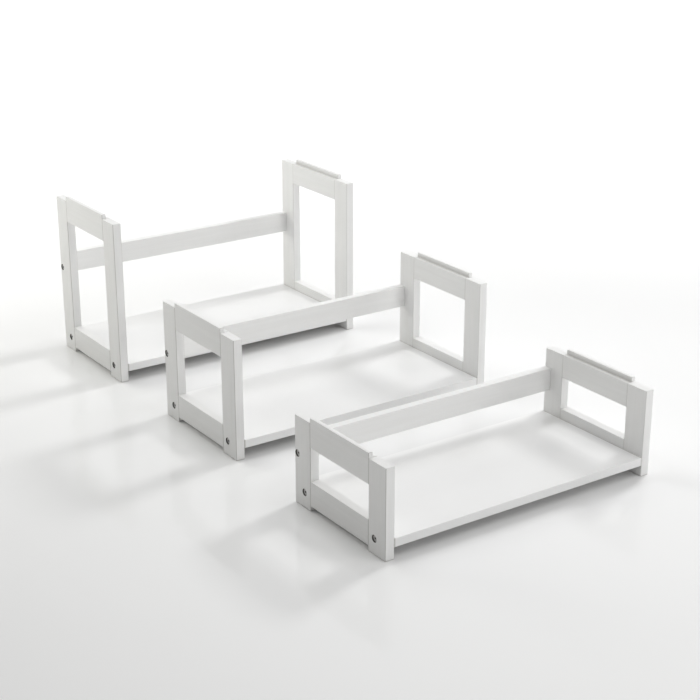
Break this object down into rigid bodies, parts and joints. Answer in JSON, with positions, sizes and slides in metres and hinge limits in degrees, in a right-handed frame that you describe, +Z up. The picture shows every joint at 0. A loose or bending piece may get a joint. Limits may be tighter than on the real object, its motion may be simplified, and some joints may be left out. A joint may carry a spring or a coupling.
{
  "type": "tiered stacking shelf set",
  "caption": "White painted wooden stacking shelf units of stepped heights, each with open side frames, a low shelf board, a back rail and tongues on top for stacking.",
  "frame": {"origin": "on the floor, in the middle of the middle unit, which is also the middle of the whole set", "axes": "+X to the right along the shelves, +Y to the rear, from the low unit to the tall one, +Z up"},
  "size_m": [0.66, 1.362, 0.3945],
  "materials": {
    "frame_paint": "satin white lacquer on solid wood, eased edges",
    "shelf_paint": "satin white lacquer on board",
    "bolt": "nickel-plated steel, hexagon socket",
    "barrel_nut": "zinc-plated steel",
    "dowel": "plain beech"
  },
  "bodies": {
    "tall_unit": {"tall_left_front_post": "frame_paint", "tall_left_rear_post": "frame_paint", "tall_left_top_rail": "frame_paint", "tall_left_bottom_rail": "frame_paint", "tall_right_front_post": "frame_paint", "tall_right_rear_post": "frame_paint", "tall_right_top_rail": "frame_paint", "tall_right_bottom_rail": "frame_paint", "tall_shelf": "shelf_paint", "tall_back_rail": "frame_paint", "tall_bolts": "bolt", "tall_barrel_nuts": "barrel_nut", "tall_frame_dowels": "dowel", "tall_shelf_dowels": "dowel", "tall_rail_dowels": "dowel"},
    "mid_unit": {"mid_left_front_post": "frame_paint", "mid_left_rear_post": "frame_paint", "mid_left_top_rail": "frame_paint", "mid_left_bottom_rail": "frame_paint", "mid_right_front_post": "frame_paint", "mid_right_rear_post": "frame_paint", "mid_right_top_rail": "frame_paint", "mid_right_bottom_rail": "frame_paint", "mid_shelf": "shelf_paint", "mid_back_rail": "frame_paint", "mid_bolts": "bolt", "mid_barrel_nuts": "barrel_nut", "mid_frame_dowels": "dowel", "mid_shelf_dowels": "dowel", "mid_rail_dowels": "dowel"},
    "low_unit": {"low_left_front_post": "frame_paint", "low_left_rear_post": "frame_paint", "low_left_top_rail": "frame_paint", "low_left_bottom_rail": "frame_paint", "low_right_front_post": "frame_paint", "low_right_rear_post": "frame_paint", "low_right_top_rail": "frame_paint", "low_right_bottom_rail": "frame_paint", "low_shelf": "shelf_paint", "low_back_rail": "frame_paint", "low_bolts": "bolt", "low_barrel_nuts": "barrel_nut", "low_frame_dowels": "dowel", "low_shelf_dowels": "dowel", "low_rail_dowels": "dowel"}
  },
  "joints": [
    {"name": "mid_lift", "type": "slide", "parent": "tall_unit", "child": "mid_unit", "axis": [0, 0, 1], "range_m": [0, 0.4]},
    {"name": "low_lift", "type": "slide", "parent": "tall_unit", "child": "low_unit", "axis": [0, 0, 1], "range_m": [0, 0.67]}
  ]
}
